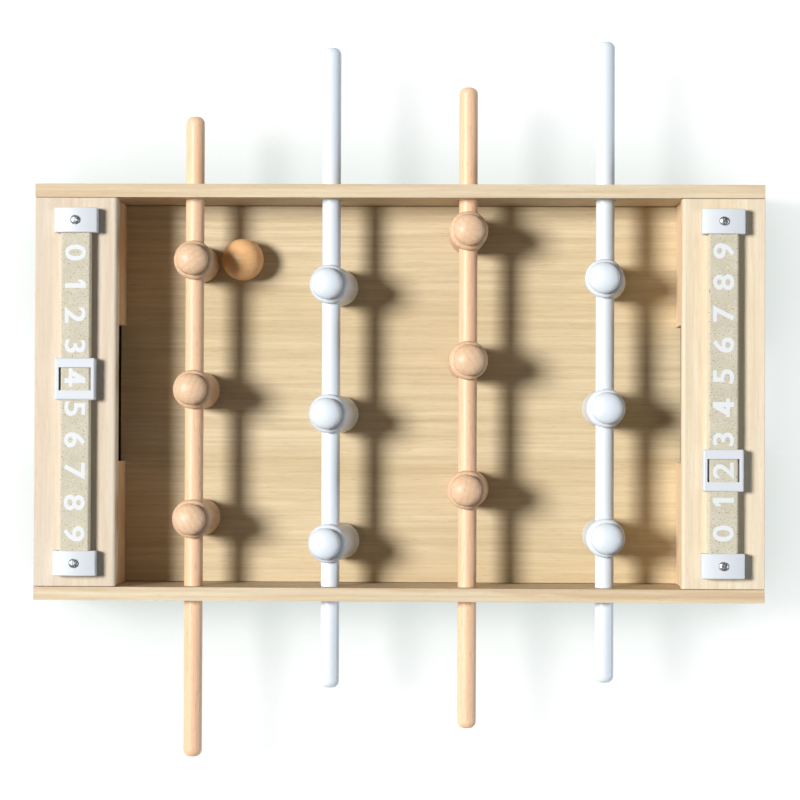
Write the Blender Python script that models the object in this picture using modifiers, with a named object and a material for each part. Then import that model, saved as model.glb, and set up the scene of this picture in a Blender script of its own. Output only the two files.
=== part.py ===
"""Tabletop foosball game: a wooden box with four sliding, turning rods and two score counters.

Run with: blender --background --python part.py
Metres, +Z up, +X along the pitch, +Y towards the back side panel. The origin is on the ground,
under the middle of the whole game, rods included.
"""

import math

import bmesh
import bpy

# Box, outside sizes
TABLE_LENGTH = 0.490
TABLE_WIDTH = 0.280
PANEL_HEIGHT = 0.092
PANEL_THICKNESS = 0.009
END_PANEL_THICKNESS = 0.009
EDGE_ROUND = 0.0006
JOINT_GAP = 0.0003

# Foot pads under the side panels
FOOT_LENGTH = 0.030
FOOT_WIDTH = 0.0074
FOOT_HEIGHT = 0.003
FOOT_ROUND = 0.001
FOOT_INSET = 0.012

# Pitch, below the top of the side panels
PITCH_DEPTH = 0.062
PITCH_THICKNESS = 0.006
PITCH_TUCK = 0.0035

# End blocks: score deck on top, goal wall towards the pitch, ball tray below
DECK_LENGTH = 0.0555
DECK_THICKNESS = 0.009
DECK_EDGE_ROUND = 0.0025
GOAL_WALL_THICKNESS = 0.009
GOAL_WALL_SETBACK = 0.0015
GOAL_WIDTH = 0.094
GOAL_HEIGHT = 0.040
TRAY_THICKNESS = 0.005
OUTLET_WIDTH = 0.070
OUTLET_HEIGHT = 0.036

# Rods
ROD_SPACING = 0.0928
ROD_RADIUS = 0.0063
ROD_LENGTH = 0.434
ROD_TIP_ROUND = 0.0045
ROD_DEPTH = 0.020
ROD_HOLE_CLEARANCE = 0.001
HANDLE_OFFSET = 0.0316

# Players: heights are measured from the rod's axis
PLAYER_SPACING = 0.0875
PLAYER_BORE_CLEARANCE = 0.0003
KNOB_RADIUS = 0.0107
KNOB_TOP = 0.0260
KNOB_MIDDLE = 0.0190
NECK_RADIUS = 0.0090
NECK_HEIGHT = 0.0142
SHOULDER_RADIUS = 0.0132
SHOULDER_HEIGHT = 0.0095
FOOT_RADIUS = 0.0126
SOLE_CLEARANCE = 0.0030
SOLE_ROUND = 0.0025
KNOB_ANGLES = (0, 24, 45, 66, 90)

# Ball
BALL_RADIUS = 0.01435
BALL_FROM_PLAYER = 0.00345
BALL_FROM_CENTRE = 0.0923

# Score counters
BAR_WIDTH = 0.020
BAR_HEIGHT = 0.0080
BAR_ROUND = 0.0015
BAR_FROM_END = 0.0286
DIGIT_SPACING = 0.0209
DIGIT_SHIFT = 0.0011
CLAMP_SPACING = 0.2296
CLAMP_WALL = 0.0040
CLAMP_LENGTH = 0.0168
CLAMP_SIDE_RISE = 0.0010
CLAMP_CROWN_RISE = 0.0030
CLAMP_OVERLAP = 0.001
SLIDER_WALL = 0.0031
SLIDER_LENGTH = 0.0282
SLIDER_TOP = 0.0020
SLIDER_ROUND = 0.0010
SLIDER_LIFT = 0.0004
WINDOW_OVER_BAR = 0.0015
WINDOW_LENGTH = 0.0153
BAR_CLEARANCE = 0.0004

# Clamp screws
SCREW_RADIUS = 0.0015
SCREW_HEAD_RADIUS = 0.0030
SCREW_HEAD_HEIGHT = 0.0016
SCREW_HEAD_DOME = ((0, 1), (0.6, 0.88), (0.9, 0.62), (1, 0.4), (1, 0))
SCREW_BITE = 0.0054
SCREW_CLEARANCE = 0.0003
SCREW_TURN = 20
RECESS_LENGTH = 0.0036
RECESS_WIDTH = 0.0009
RECESS_DEPTH = 0.0010

# How each rod is stored. slide: its middle player's place towards the back. leans: how far each
# hand-glued player turns about the rod, in degrees, back to front; positive leans the head to +X.
RODS = [
    {"team": "natural", "slide": 0.0020, "leans": (-1.0, -2.5, -3.5)},
    {"team": "white", "slide": -0.0141, "leans": (-7.0, -8.0, -9.5)},
    {"team": "natural", "slide": 0.0222, "leans": (1.0, 2.0, -4.0)},
    {"team": "white", "slide": -0.0098, "leans": (-6.0, 1.5, 1.0)},
]
LEFT_SCORE = 4
RIGHT_SCORE = 2
LEFT_SLIP = 0.0010
RIGHT_SLIP = 0.0
DIGITS = 10

# How finely round shapes are divided
TURN_STEPS = 18
SCREW_STEPS = 16
CLAMP_ARCH_STEPS = 8
TIP_STEPS = 4
SHOULDER_STEPS = 3
SOLE_STEPS = 2
DECK_EDGE_STEPS = 4
SLIDER_EDGE_STEPS = 3
BOARD_EDGE_STEPS = 2
ROD_STEPS = 24
HOLE_STEPS = 24
BALL_STEPS = 24
MERGE_DISTANCE = 0.00001
SMOOTH_ANGLE = math.radians(40)
CUT_MARGIN = 0.01

# Heights that follow from the sizes above
PANEL_TOP = FOOT_HEIGHT + PANEL_HEIGHT
PITCH_TOP = PANEL_TOP - PITCH_DEPTH
ROD_HEIGHT = PANEL_TOP - ROD_DEPTH
DECK_UNDERSIDE = PANEL_TOP - DECK_THICKNESS
INNER_WIDTH = TABLE_WIDTH - 2 * PANEL_THICKNESS
FOOT_REACH = PITCH_DEPTH - ROD_DEPTH - SOLE_CLEARANCE
BALL_FROM_ROD = FOOT_RADIUS + BALL_RADIUS + BALL_FROM_PLAYER
BAR_X = TABLE_LENGTH / 2 - BAR_FROM_END
BAR_CHANNEL = BAR_WIDTH / 2 + BAR_CLEARANCE
CLAMP_SIDE_HEIGHT = BAR_HEIGHT + CLAMP_SIDE_RISE
CLAMP_CROWN_HEIGHT = BAR_HEIGHT + CLAMP_CROWN_RISE
CLAMP_HALF_WIDTH = BAR_CHANNEL + CLAMP_WALL
SLIDER_HALF_WIDTH = BAR_CHANNEL + SLIDER_WALL
SCREW_LENGTH = CLAMP_CROWN_HEIGHT + SCREW_BITE
SIDES = {"left": -1, "right": 1}
ENDS = {"back": 1, "front": -1}


def rod_x(number):
    """Where rod 1 to 4 stands along the pitch."""
    return (number - (len(RODS) + 1) / 2) * ROD_SPACING


def rod_middle(rod):
    """The middle of a rod's length: natural rods have their handle at the front, white at the back."""
    towards_handle = -1 if rod["team"] == "natural" else 1
    return rod["slide"] + towards_handle * HANDLE_OFFSET


def table_centre():
    """How far the box stands from the origin, which is the middle of the whole game's length in Y."""
    lows = [rod_middle(rod) - ROD_LENGTH / 2 for rod in RODS] + [-TABLE_WIDTH / 2]
    highs = [rod_middle(rod) + ROD_LENGTH / 2 for rod in RODS] + [TABLE_WIDTH / 2]
    return -(min(lows) + max(highs)) / 2


def clear_scene():
    """Remove what the new file holds."""
    for thing in list(bpy.data.objects):
        bpy.data.objects.remove(thing)


def new_collection(name):
    """A collection of the scene."""
    collection = bpy.data.collections.new(name)
    bpy.context.scene.collection.children.link(collection)
    return collection


def new_material(name, colour, roughness, metallic=0.0):
    """A plain Principled material."""
    material = bpy.data.materials.new(name)
    material.use_nodes = True
    shader = material.node_tree.nodes["Principled BSDF"]
    shader.inputs["Base Color"].default_value = (*colour, 1.0)
    shader.inputs["Roughness"].default_value = roughness
    shader.inputs["Metallic"].default_value = metallic
    return material


def place(thing, collection, parent, material=None):
    """Put an object in its collection, under its parent, with its material."""
    for old in list(thing.users_collection):
        old.objects.unlink(thing)
    collection.objects.link(thing)
    thing.parent = parent
    if material is not None:
        thing.data.materials.clear()
        thing.data.materials.append(material)
    return thing


def new_empty(name, location, parent):
    """An empty that carries what moves together."""
    empty = bpy.data.objects.new(name, None)
    empty.empty_display_size = 0.01
    empty.location = location
    place(empty, PARTS, parent)
    return empty


def mesh_box(name, low, high):
    """A cube primitive that fills the space from low to high, with its scale applied."""
    bpy.ops.mesh.primitive_cube_add(size=1)
    box = bpy.context.object
    box.name = name
    centre = [(a + b) / 2 for a, b in zip(low, high)]
    size = [b - a for a, b in zip(low, high)]
    for vertex in box.data.vertices:
        vertex.co = [value * length for value, length in zip(vertex.co, size)]
    box.location = centre
    return box


def add_bevel(thing, width, segments=BOARD_EDGE_STEPS):
    """Round the sharp edges."""
    bevel = thing.modifiers.new("rounded edges", "BEVEL")
    bevel.width = width
    bevel.segments = segments
    bevel.limit_method = "ANGLE"
    bevel.angle_limit = SMOOTH_ANGLE


def board(name, low, high, material, round_edges=EDGE_ROUND):
    """A flat board with eased edges."""
    piece = place(mesh_box(name, low, high), PARTS, TABLE, material)
    add_bevel(piece, round_edges)
    return piece


def as_cutter(thing):
    """Keep a cutting shape out of the model."""
    thing.hide_render = True
    thing.display_type = "WIRE"
    return place(thing, CUTTERS, TABLE)


def box_cutter(name, low, high):
    """A box that is cut away."""
    return as_cutter(mesh_box(name, low, high))


def hole_cutter(name, radius, length, location, along_y):
    """A round hole that is cut away, along Y or Z."""
    turn = (math.pi / 2, 0, 0) if along_y else (0, 0, 0)
    bpy.ops.mesh.primitive_cylinder_add(
        vertices=HOLE_STEPS, radius=radius, depth=length, location=location, rotation=turn
    )
    cutter = bpy.context.object
    cutter.name = name
    return as_cutter(cutter)


def cut(thing, cutter):
    """Cut one shape out of another."""
    boolean = thing.modifiers.new(cutter.name, "BOOLEAN")
    boolean.operation = "DIFFERENCE"
    boolean.solver = "EXACT"
    boolean.object = cutter


def turned(name, profile, steps):
    """A turned shape: a profile of (radius, height) points, top to bottom, swept around Z."""
    mesh = bpy.data.meshes.new(name)
    shape = bmesh.new()
    points = [shape.verts.new((radius, 0, height)) for radius, height in profile]
    for upper, lower in zip(points, points[1:]):
        shape.edges.new((upper, lower))
    shape.to_mesh(mesh)
    shape.free()
    piece = bpy.data.objects.new(name, mesh)
    bpy.context.scene.collection.objects.link(piece)
    screw = piece.modifiers.new("turned", "SCREW")
    screw.steps = steps
    screw.render_steps = steps
    screw.use_merge_vertices = True
    screw.merge_threshold = MERGE_DISTANCE
    screw.use_smooth_shade = True
    return piece


def settle(thing):
    """Turn an object's modifiers into plain mesh, so that its copies can share it."""
    bpy.context.view_layer.update()
    evaluated = thing.evaluated_get(bpy.context.evaluated_depsgraph_get())
    mesh = bpy.data.meshes.new_from_object(evaluated)
    mesh.name = thing.name
    thing.modifiers.clear()
    thing.data = mesh
    return thing


def smooth(mesh):
    """Shade round sides smooth and leave real edges sharp."""
    mesh.shade_smooth()
    mesh.set_sharp_from_angle(angle=SMOOTH_ANGLE)


def arc(centre, radius, start, end, steps):
    """Points on an arc in a profile, from one angle to another, in degrees above the outward radius."""
    angles = [math.radians(start + (end - start) * step / steps) for step in range(steps + 1)]
    return [
        (centre[0] + radius * math.cos(angle), centre[1] + radius * math.sin(angle))
        for angle in angles
    ]


def make_side_panels(rod_holes):
    """The two long panels, which the rods pass through."""
    for end, side in ENDS.items():
        outer = side * TABLE_WIDTH / 2
        inner = side * INNER_WIDTH / 2
        panel = board(
            f"{end}_side_panel",
            (-TABLE_LENGTH / 2, min(outer, inner), FOOT_HEIGHT),
            (TABLE_LENGTH / 2, max(outer, inner), PANEL_TOP),
            PALE_WOOD,
        )
        for hole in rod_holes:
            cut(panel, hole)


def make_foot_pads():
    """Four rubber pads under the corners of the side panels."""
    y = TABLE_WIDTH / 2 - PANEL_THICKNESS / 2
    outer = TABLE_LENGTH / 2 - FOOT_INSET
    for side_name, side in SIDES.items():
        for end_name, end in ENDS.items():
            xs = sorted((side * outer, side * (outer - FOOT_LENGTH)))
            board(
                f"{side_name}_{end_name}_foot_pad",
                (xs[0], end * y - FOOT_WIDTH / 2, 0),
                (xs[1], end * y + FOOT_WIDTH / 2, FOOT_HEIGHT - JOINT_GAP),
                RUBBER,
                FOOT_ROUND,
            )


def make_pitch():
    """The floor that the ball rolls on, tucked under the goal walls."""
    half_length = TABLE_LENGTH / 2 - DECK_LENGTH + GOAL_WALL_SETBACK + PITCH_TUCK
    half_width = INNER_WIDTH / 2 - JOINT_GAP
    board(
        "pitch_board",
        (-half_length, -half_width, PITCH_TOP - PITCH_THICKNESS),
        (half_length, half_width, PITCH_TOP),
        PITCH_WOOD,
    )


def make_end_block(side_name, side):
    """One end of the box: end panel, goal wall, ball tray, its riser under the pitch, and deck."""
    half_width = INNER_WIDTH / 2 - JOINT_GAP
    end = TABLE_LENGTH / 2
    wall_face = end - DECK_LENGTH + GOAL_WALL_SETBACK

    def span(inner, outer, bottom, top, half=half_width):
        xs = sorted((side * inner, side * outer))
        return (xs[0], -half, bottom), (xs[1], half, top)

    outlet_bottom = FOOT_HEIGHT + TRAY_THICKNESS
    panel_inner = end - END_PANEL_THICKNESS
    panel = board(
        f"{side_name}_end_panel",
        *span(panel_inner, end, FOOT_HEIGHT, DECK_UNDERSIDE - JOINT_GAP),
        PALE_WOOD,
    )
    outlet = box_cutter(
        f"{side_name}_outlet_cutter",
        *span(
            panel_inner - CUT_MARGIN,
            end + CUT_MARGIN,
            outlet_bottom,
            outlet_bottom + OUTLET_HEIGHT,
            OUTLET_WIDTH / 2,
        ),
    )
    cut(panel, outlet)

    wall = board(
        f"{side_name}_goal_wall",
        *span(
            wall_face,
            wall_face + GOAL_WALL_THICKNESS,
            PITCH_TOP + JOINT_GAP,
            DECK_UNDERSIDE - JOINT_GAP,
        ),
        PALE_WOOD,
    )
    mouth = box_cutter(
        f"{side_name}_goal_cutter",
        *span(
            wall_face - CUT_MARGIN,
            wall_face + GOAL_WALL_THICKNESS + CUT_MARGIN,
            PITCH_TOP - CUT_MARGIN,
            PITCH_TOP + GOAL_HEIGHT,
            GOAL_WIDTH / 2,
        ),
    )
    cut(wall, mouth)

    board(
        f"{side_name}_ball_tray",
        *span(wall_face, panel_inner - JOINT_GAP, FOOT_HEIGHT, FOOT_HEIGHT + TRAY_THICKNESS),
        DARK_BOARD,
    )
    board(
        f"{side_name}_tray_riser",
        *span(
            wall_face,
            wall_face + PITCH_TUCK,
            outlet_bottom + JOINT_GAP,
            PITCH_TOP - PITCH_THICKNESS - JOINT_GAP,
        ),
        DARK_BOARD,
    )
    make_deck(side_name, side, span)


def make_deck(side_name, side, span):
    """The board on top of an end block, flush with the side panels and rounded towards the pitch."""
    end = TABLE_LENGTH / 2
    inner = end - DECK_LENGTH
    deck = mesh_box(f"{side_name}_score_deck", *span(inner, end, DECK_UNDERSIDE, PANEL_TOP))
    shape = bmesh.new()
    shape.from_mesh(deck.data)
    inner_top = [
        edge
        for edge in shape.edges
        if all(vertex.co.z > 0 and vertex.co.x * side < 0 for vertex in edge.verts)
    ]
    bmesh.ops.bevel(
        shape,
        geom=inner_top,
        offset=DECK_EDGE_ROUND,
        segments=DECK_EDGE_STEPS,
        profile=0.5,
        affect="EDGES",
    )
    shape.to_mesh(deck.data)
    shape.free()
    place(deck, PARTS, TABLE, PALE_WOOD)
    add_bevel(deck, EDGE_ROUND)
    for end_name, end_side in ENDS.items():
        hole = hole_cutter(
            f"{side_name}_{end_name}_pilot_cutter",
            SCREW_RADIUS + SCREW_CLEARANCE,
            2 * (SCREW_LENGTH + SCREW_CLEARANCE),
            (side * BAR_X, end_side * CLAMP_SPACING / 2, PANEL_TOP + CLAMP_CROWN_HEIGHT),
            along_y=False,
        )
        cut(deck, hole)
        CLAMP_HOLES[side_name, end_name] = hole


def rod_profile():
    """A dowel with rounded tips, standing on Z."""
    tip = ROD_LENGTH / 2 - ROD_TIP_ROUND
    inner = ROD_RADIUS - ROD_TIP_ROUND
    upper = arc((inner, tip), ROD_TIP_ROUND, 90, 0, TIP_STEPS)
    lower = [(radius, -height) for radius, height in reversed(upper)]
    return [(0, ROD_LENGTH / 2), *upper, *lower, (0, -ROD_LENGTH / 2)]


def player_profile():
    """A turned peg: domed knob, neck, rounded shoulder, straight body and eased sole."""
    crown = [
        (KNOB_RADIUS * math.sin(math.radians(angle)),
         KNOB_MIDDLE + (KNOB_TOP - KNOB_MIDDLE) * math.cos(math.radians(angle)))
        for angle in KNOB_ANGLES
    ]
    shoulder = arc(
        (NECK_RADIUS, SHOULDER_HEIGHT), SHOULDER_RADIUS - NECK_RADIUS, 90, 0, SHOULDER_STEPS
    )
    sole_centre = (FOOT_RADIUS - SOLE_ROUND, SOLE_ROUND - FOOT_REACH)
    sole = arc(sole_centre, SOLE_ROUND, 0, -90, SOLE_STEPS)
    return [*crown, (NECK_RADIUS, NECK_HEIGHT), *shoulder, *sole, (0, -FOOT_REACH)]


def make_player_mesh():
    """The shape that every player shares, with the rod's bore along Y."""
    pattern = turned("player", player_profile(), TURN_STEPS)
    bore = hole_cutter(
        "player_bore_cutter",
        ROD_RADIUS + PLAYER_BORE_CLEARANCE,
        2 * (SHOULDER_RADIUS + CUT_MARGIN),
        (0, -TABLE.location.y, 0),
        along_y=True,
    )
    cut(pattern, bore)
    mesh = settle(pattern).data
    bpy.data.objects.remove(pattern)
    smooth(mesh)
    return mesh


def make_rod(number, rod, player_mesh):
    """One rod and its three players, on empties that stand on the rod's axis."""
    material = {"natural": BEECH, "white": WHITE_PAINT}[rod["team"]]
    middle_player = (rod_x(number), rod["slide"], ROD_HEIGHT)
    slide = new_empty(f"rod_{number}_slide", middle_player, TABLE)
    spin = new_empty(f"rod_{number}_spin", (0, 0, 0), slide)

    dowel = turned(f"rod_{number}", rod_profile(), ROD_STEPS)
    dowel.rotation_euler = (-math.pi / 2, 0, 0)
    dowel.location = (0, rod_middle(rod) - rod["slide"], 0)
    place(dowel, PARTS, slide, material)
    smooth(settle(dowel).data)

    for index, lean in enumerate(rod["leans"]):
        mesh = player_mesh.copy()
        player = bpy.data.objects.new(f"rod_{number}_player_{index + 1}", mesh)
        player.location = (0, (1 - index) * PLAYER_SPACING, 0)
        player.rotation_euler = (0, math.radians(lean), 0)
        place(player, PARTS, spin, material)


def make_ball():
    """The ball, just in front of the back player on rod 1."""
    location = (
        rod_x(1) + BALL_FROM_ROD,
        BALL_FROM_CENTRE,
        PITCH_TOP + BALL_RADIUS + JOINT_GAP,
    )
    bpy.ops.mesh.primitive_uv_sphere_add(
        segments=BALL_STEPS, ring_count=BALL_STEPS // 2, radius=BALL_RADIUS, location=location
    )
    ball = bpy.context.object
    ball.name = "ball"
    ball.data.shade_smooth()
    place(ball, PARTS, TABLE, BALL_WOOD)


def clamp_outline():
    """Section of an end clamp across the bar: two feet, a channel for the bar and an arched crown."""
    half = CLAMP_HALF_WIDTH
    rise = CLAMP_CROWN_HEIGHT - CLAMP_SIDE_HEIGHT
    radius = (half * half + rise * rise) / (2 * rise)
    sweep = math.degrees(math.asin(half / radius))
    crown = arc((0, CLAMP_CROWN_HEIGHT - radius), radius, 90 - sweep, 90 + sweep, CLAMP_ARCH_STEPS)
    ceiling = BAR_HEIGHT + 2 * JOINT_GAP
    return [
        (half, JOINT_GAP),
        *crown,
        (-half, JOINT_GAP),
        (-BAR_CHANNEL, JOINT_GAP),
        (-BAR_CHANNEL, ceiling),
        (BAR_CHANNEL, ceiling),
        (BAR_CHANNEL, JOINT_GAP),
    ]


def make_clamp_mesh():
    """The arched cap that every bar end sits under, standing on the deck, with its screw hole."""
    outline = bpy.data.curves.new("clamp", "CURVE")
    outline.dimensions = "2D"
    outline.fill_mode = "BOTH"
    outline.extrude = CLAMP_LENGTH / 2
    points = clamp_outline()
    spline = outline.splines.new("POLY")
    spline.points.add(len(points) - 1)
    for point, (x, z) in zip(spline.points, points):
        point.co = (x, z, 0, 1)
    spline.use_cyclic_u = True
    drawn = bpy.data.objects.new("clamp", outline)
    bpy.context.scene.collection.objects.link(drawn)
    drawn.rotation_euler = (math.pi / 2, 0, 0)
    bpy.context.view_layer.update()
    evaluated = drawn.evaluated_get(bpy.context.evaluated_depsgraph_get())
    mesh = bpy.data.meshes.new_from_object(evaluated)
    mesh.transform(drawn.matrix_world)
    bpy.data.objects.remove(drawn)
    shape = bmesh.new()
    shape.from_mesh(mesh)
    bmesh.ops.remove_doubles(shape, verts=shape.verts, dist=MERGE_DISTANCE)
    bmesh.ops.dissolve_limit(
        shape, angle_limit=math.radians(1), verts=shape.verts, edges=shape.edges
    )
    shape.to_mesh(mesh)
    shape.free()
    pattern = bpy.data.objects.new("clamp", mesh)
    bpy.context.scene.collection.objects.link(pattern)
    add_bevel(pattern, EDGE_ROUND)
    hole = hole_cutter(
        "clamp_hole_cutter",
        SCREW_RADIUS + SCREW_CLEARANCE,
        2 * CLAMP_CROWN_HEIGHT + CUT_MARGIN,
        (0, -TABLE.location.y, 0),
        along_y=False,
    )
    cut(pattern, hole)
    result = settle(pattern).data
    bpy.data.objects.remove(pattern)
    smooth(result)
    return result


def make_screw_mesh():
    """A pan-head screw with a cross recess; Z = 0 is the underside of its head."""
    head = [
        (SCREW_HEAD_RADIUS * across, SCREW_HEAD_HEIGHT * up) for across, up in SCREW_HEAD_DOME
    ]
    point = -SCREW_LENGTH + 2 * SCREW_RADIUS
    shank = [(SCREW_RADIUS, 0), (SCREW_RADIUS, point), (0, -SCREW_LENGTH)]
    pattern = turned("screw", head + shank, SCREW_STEPS)
    for name, size_x, size_y in (
        ("recess_along_x", RECESS_LENGTH, RECESS_WIDTH),
        ("recess_along_y", RECESS_WIDTH, RECESS_LENGTH),
    ):
        low = (-size_x / 2, -size_y / 2 - TABLE.location.y, SCREW_HEAD_HEIGHT - RECESS_DEPTH)
        high = (size_x / 2, size_y / 2 - TABLE.location.y, SCREW_HEAD_HEIGHT + CUT_MARGIN)
        cut(pattern, box_cutter(name, low, high))
    mesh = settle(pattern).data
    bpy.data.objects.remove(pattern)
    smooth(mesh)
    return mesh


def make_score_bar(side_name, side):
    """The strip that carries the numbers, lying on the deck between two clamps."""
    half_length = (CLAMP_SPACING + CLAMP_LENGTH) / 2 - CLAMP_OVERLAP
    bar = board(
        f"{side_name}_score_bar",
        (side * BAR_X - BAR_WIDTH / 2, -half_length, PANEL_TOP + JOINT_GAP),
        (side * BAR_X + BAR_WIDTH / 2, half_length, PANEL_TOP + BAR_HEIGHT + JOINT_GAP),
        BAR_BOARD,
        BAR_ROUND,
    )
    for end_name in ENDS:
        cut(bar, CLAMP_HOLES[side_name, end_name])


def make_clamps(side_name, side, clamp_mesh, screw_mesh):
    """Two clamps and their screws at the ends of a score bar."""
    for end_name, end in ENDS.items():
        y = end * CLAMP_SPACING / 2
        clamp = bpy.data.objects.new(f"{side_name}_{end_name}_clamp", clamp_mesh.copy())
        clamp.location = (side * BAR_X, y, PANEL_TOP)
        place(clamp, PARTS, TABLE, WHITE_PLASTIC)
        screw = bpy.data.objects.new(f"{side_name}_{end_name}_clamp_screw", screw_mesh.copy())
        screw.location = (side * BAR_X, y, PANEL_TOP + CLAMP_CROWN_HEIGHT + JOINT_GAP)
        screw.rotation_euler = (0, 0, math.radians(SCREW_TURN) * side * end)
        place(screw, PARTS, TABLE, STEEL)


def digit_place(side, digit):
    """Where a digit stands along Y: 0 is at the back on the left bar and at the front on the right."""
    from_middle = (digit - (DIGITS - 1) / 2) * DIGIT_SPACING
    return side * (from_middle + DIGIT_SHIFT)


def make_score_slider(side_name, side, score, slip):
    """The square cap that frames one number, on an empty that slides along the bar."""
    slide = new_empty(
        f"{side_name}_slider_slide",
        (side * BAR_X, digit_place(side, score) + side * slip, PANEL_TOP),
        TABLE,
    )
    top = BAR_HEIGHT + SLIDER_TOP
    slider = mesh_box(
        f"{side_name}_score_slider",
        (-SLIDER_HALF_WIDTH, -SLIDER_LENGTH / 2, SLIDER_LIFT),
        (SLIDER_HALF_WIDTH, SLIDER_LENGTH / 2, top),
    )
    place(slider, PARTS, slide, WHITE_PLASTIC)
    add_bevel(slider, SLIDER_ROUND, SLIDER_EDGE_STEPS)
    window_half = (BAR_WIDTH + WINDOW_OVER_BAR) / 2
    passage = box_cutter(
        f"{side_name}_channel_cutter",
        (-BAR_CHANNEL, -SLIDER_LENGTH, -CUT_MARGIN),
        (BAR_CHANNEL, SLIDER_LENGTH, BAR_HEIGHT + JOINT_GAP + BAR_CLEARANCE),
    )
    window = box_cutter(
        f"{side_name}_window_cutter",
        (-window_half, -WINDOW_LENGTH / 2, BAR_HEIGHT / 2),
        (window_half, WINDOW_LENGTH / 2, top + CUT_MARGIN),
    )
    for cutter in (passage, window):
        cutter.parent = slide
        cut(slider, cutter)


clear_scene()
PARTS = new_collection("tabletop_foosball")
CUTTERS = new_collection("cutters")

PALE_WOOD = new_material("pale_wood", (0.79, 0.66, 0.47), 0.62)
PITCH_WOOD = new_material("pitch_wood", (0.72, 0.54, 0.33), 0.60)
DARK_BOARD = new_material("dark_board", (0.05, 0.038, 0.03), 0.70)
BEECH = new_material("beech", (0.86, 0.62, 0.42), 0.50)
WHITE_PAINT = new_material("white_paint", (0.86, 0.88, 0.91), 0.32)
WHITE_PLASTIC = new_material("white_plastic", (0.88, 0.90, 0.93), 0.30)
BAR_BOARD = new_material("bar_board", (0.66, 0.62, 0.52), 0.75)
BALL_WOOD = new_material("ball_wood", (0.72, 0.42, 0.18), 0.42)
STEEL = new_material("steel", (0.62, 0.63, 0.64), 0.28, 1.0)
RUBBER = new_material("rubber", (0.03, 0.03, 0.03), 0.85)

TABLE = new_empty("table_centre", (0, table_centre(), 0), None)
CLAMP_HOLES = {}

ROD_HOLES = [
    hole_cutter(
        f"rod_{number}_hole_cutter",
        ROD_RADIUS + ROD_HOLE_CLEARANCE,
        TABLE_WIDTH + 2 * CUT_MARGIN,
        (rod_x(number), 0, ROD_HEIGHT),
        along_y=True,
    )
    for number in range(1, len(RODS) + 1)
]
make_side_panels(ROD_HOLES)
make_foot_pads()
make_pitch()
for SIDE_NAME, SIDE in SIDES.items():
    make_end_block(SIDE_NAME, SIDE)

PLAYER_MESH = make_player_mesh()
for NUMBER, ROD in enumerate(RODS, start=1):
    make_rod(NUMBER, ROD, PLAYER_MESH)
make_ball()

CLAMP_MESH = make_clamp_mesh()
SCREW_MESH = make_screw_mesh()
for SIDE_NAME, SIDE in SIDES.items():
    make_score_bar(SIDE_NAME, SIDE)
    make_clamps(SIDE_NAME, SIDE, CLAMP_MESH, SCREW_MESH)
make_score_slider("left", -1, LEFT_SCORE, LEFT_SLIP)
make_score_slider("right", 1, RIGHT_SCORE, RIGHT_SLIP)
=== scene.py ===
# %% [markdown]
# # A wooden tabletop foosball game
#
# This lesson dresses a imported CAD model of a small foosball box: turned pegs on sliding rods, two
# number bars and a loose ball. The CAD model is the skeleton. It moves, and it fixes every size.
# We load it first, because each fine piece is then modelled straight onto it, in metres.

# %% Load the frame
import math

import bmesh
import bpy
from mathutils import Matrix, Vector


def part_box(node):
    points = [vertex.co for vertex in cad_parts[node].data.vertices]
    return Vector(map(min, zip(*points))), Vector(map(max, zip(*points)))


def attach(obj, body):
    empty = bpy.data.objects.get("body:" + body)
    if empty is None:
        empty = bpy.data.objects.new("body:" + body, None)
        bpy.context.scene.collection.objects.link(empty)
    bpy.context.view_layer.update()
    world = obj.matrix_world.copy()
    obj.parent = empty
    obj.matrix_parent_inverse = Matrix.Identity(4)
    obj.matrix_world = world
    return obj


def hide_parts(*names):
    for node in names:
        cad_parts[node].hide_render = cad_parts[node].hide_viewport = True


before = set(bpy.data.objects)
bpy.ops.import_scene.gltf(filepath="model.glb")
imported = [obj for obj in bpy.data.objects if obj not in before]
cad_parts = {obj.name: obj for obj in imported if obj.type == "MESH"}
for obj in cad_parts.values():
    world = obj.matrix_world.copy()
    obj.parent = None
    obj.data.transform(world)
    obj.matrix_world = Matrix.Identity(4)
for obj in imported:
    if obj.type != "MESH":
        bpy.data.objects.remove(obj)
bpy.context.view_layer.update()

PANEL_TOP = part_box("back_side_panel")[1].z
PITCH_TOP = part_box("pitch_board")[1].z

# %% [markdown]
# ## The camera
#
# The game is seen from straight above, like a plan, but from only about 1.7 m away. That is close
# enough for the inner walls to open up towards the edges. A long lens keeps the edges nearly
# parallel. The small turns are those of a hand-set tripod, and the lens has no shift and no blur.

# %% Camera
CAMERA_PLACE = (0.0322, -0.0229, 1.7802)
CAMERA_TURN = (0.750, 1.061, 0.222)
LENS = 113.16

lens = bpy.data.cameras.new("camera")
lens.sensor_width = 36
lens.lens = LENS
camera = bpy.data.objects.new("camera", lens)
bpy.context.scene.collection.objects.link(camera)
camera.location = CAMERA_PLACE
camera.rotation_euler = [math.radians(angle) for angle in CAMERA_TURN]
bpy.context.scene.camera = camera
bpy.context.scene.view_settings.view_transform = "Standard"
print("camera height above the pitch, m:", round(CAMERA_PLACE[2] - PITCH_TOP, 3))

# %% [markdown]
# ## Node helpers
#
# Every finish below is a small tree of shader nodes, read from Object coordinates in metres. These
# helpers keep each finish short: one makes a material, one adds a node with its settings, and the
# rest are the handful of patterns that wood, paint and plastic share.


# %% Helpers for finishes
def new_finish(name, roughness, specular=0.5):
    """A material with a Principled shader of this roughness and shine."""
    material = bpy.data.materials.new(name)
    material.use_nodes = True
    shader = material.node_tree.nodes["Principled BSDF"]
    shader.inputs["Roughness"].default_value = roughness
    shader.inputs["Specular IOR Level"].default_value = specular
    return material


def shader_of(material):
    return material.node_tree.nodes["Principled BSDF"]


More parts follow.
